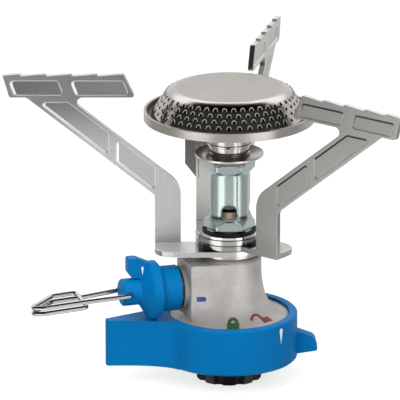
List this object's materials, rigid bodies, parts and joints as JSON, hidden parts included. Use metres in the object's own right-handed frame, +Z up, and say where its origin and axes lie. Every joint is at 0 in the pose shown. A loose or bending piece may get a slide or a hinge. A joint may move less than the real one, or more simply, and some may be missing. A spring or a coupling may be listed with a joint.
{
  "type": "camping gas stove",
  "caption": "Compact camping stove that locks onto a gas cartridge: lever ring, cast valve body, knob with fold-up wire handle, mixing tube, round burner, swinging pan supports.",
  "frame": {"origin": "on the burner's vertical axis, at the foot of the clip ring where the cartridge enters", "axes": "+Z up along the mixing tube, the valve spindle and knob point along -X"},
  "size_m": [0.1261, 0.1486, 0.1198],
  "materials": {
    "cast_alloy": "tumbled die casting",
    "blue_plastic": "moulded satin",
    "black_plastic": "moulded matt",
    "seat_plastic": "turned",
    "plated_sheet": "plated pressed sheet",
    "steel_wire": "bright drawn wire",
    "bright_steel": "turned",
    "zinc_plate": "bright zinc plate",
    "stainless": "spun and pressed sheet",
    "brass": "turned",
    "rubber": "moulded"
  },
  "bodies": {
    "stove_body": {"body_casting": "cast_alloy", "inlet_probe": "brass", "inlet_seal": "rubber", "gas_filter": "brass", "clip_ring": "black_plastic", "clip_screws": "bright_steel", "ring_stop_pin": "bright_steel", "valve_seat": "seat_plastic", "spindle_seal": "rubber", "gland_nut": "brass", "pivot_bush": "bright_steel", "base_washer": "bright_steel", "rear_bracket": "stainless", "tube_gasket": "rubber", "jet": "brass", "jet_seal": "rubber", "mixing_tube": "zinc_plate", "flame_cup": "stainless", "neck_nut": "stainless", "lock_washer": "stainless", "burner_neck": "stainless", "burner_pan": "stainless", "burner_cap": "stainless"},
    "lever": {"lever_ring": "blue_plastic"},
    "knob_and_spindle": {"knob": "blue_plastic", "spindle": "bright_steel"},
    "handle": {"wire_handle": "steel_wire"},
    "left_support": {"arm_left": "plated_sheet"},
    "right_support": {"arm_right": "plated_sheet"},
    "rear_support": {"arm_rear": "plated_sheet"}
  },
  "joints": [
    {"name": "lever_lock", "type": "hinge", "parent": "stove_body", "child": "lever", "pos_m": [0, 0, 0.0093], "axis": [0, 0, 1], "range_deg": [-45, 0]},
    {"name": "knob_turn", "type": "hinge", "parent": "stove_body", "child": "knob_and_spindle", "pos_m": [-0.03, 0, 0.0374], "axis": [-1, 0, 0], "range_deg": [-130, 105]},
    {"name": "handle_fold", "type": "hinge", "parent": "knob_and_spindle", "child": "handle", "pos_m": [-0.0405, 0, 0.038], "axis": [0, 1, 0], "range_deg": [-15, 90]},
    {"name": "left_swing", "type": "hinge", "parent": "stove_body", "child": "left_support", "pos_m": [0, 0, 0.0522], "axis": [0, 0, 1], "range_deg": [-32, 100]},
    {"name": "right_swing", "type": "hinge", "parent": "stove_body", "child": "right_support", "pos_m": [0, 0, 0.0544], "axis": [0, 0, 1], "range_deg": [-12, 75]},
    {"name": "rear_swing", "type": "hinge", "parent": "stove_body", "child": "rear_support", "pos_m": [0, 0, 0.0566], "axis": [0, 0, 1], "range_deg": [-25, 15]}
  ]
}
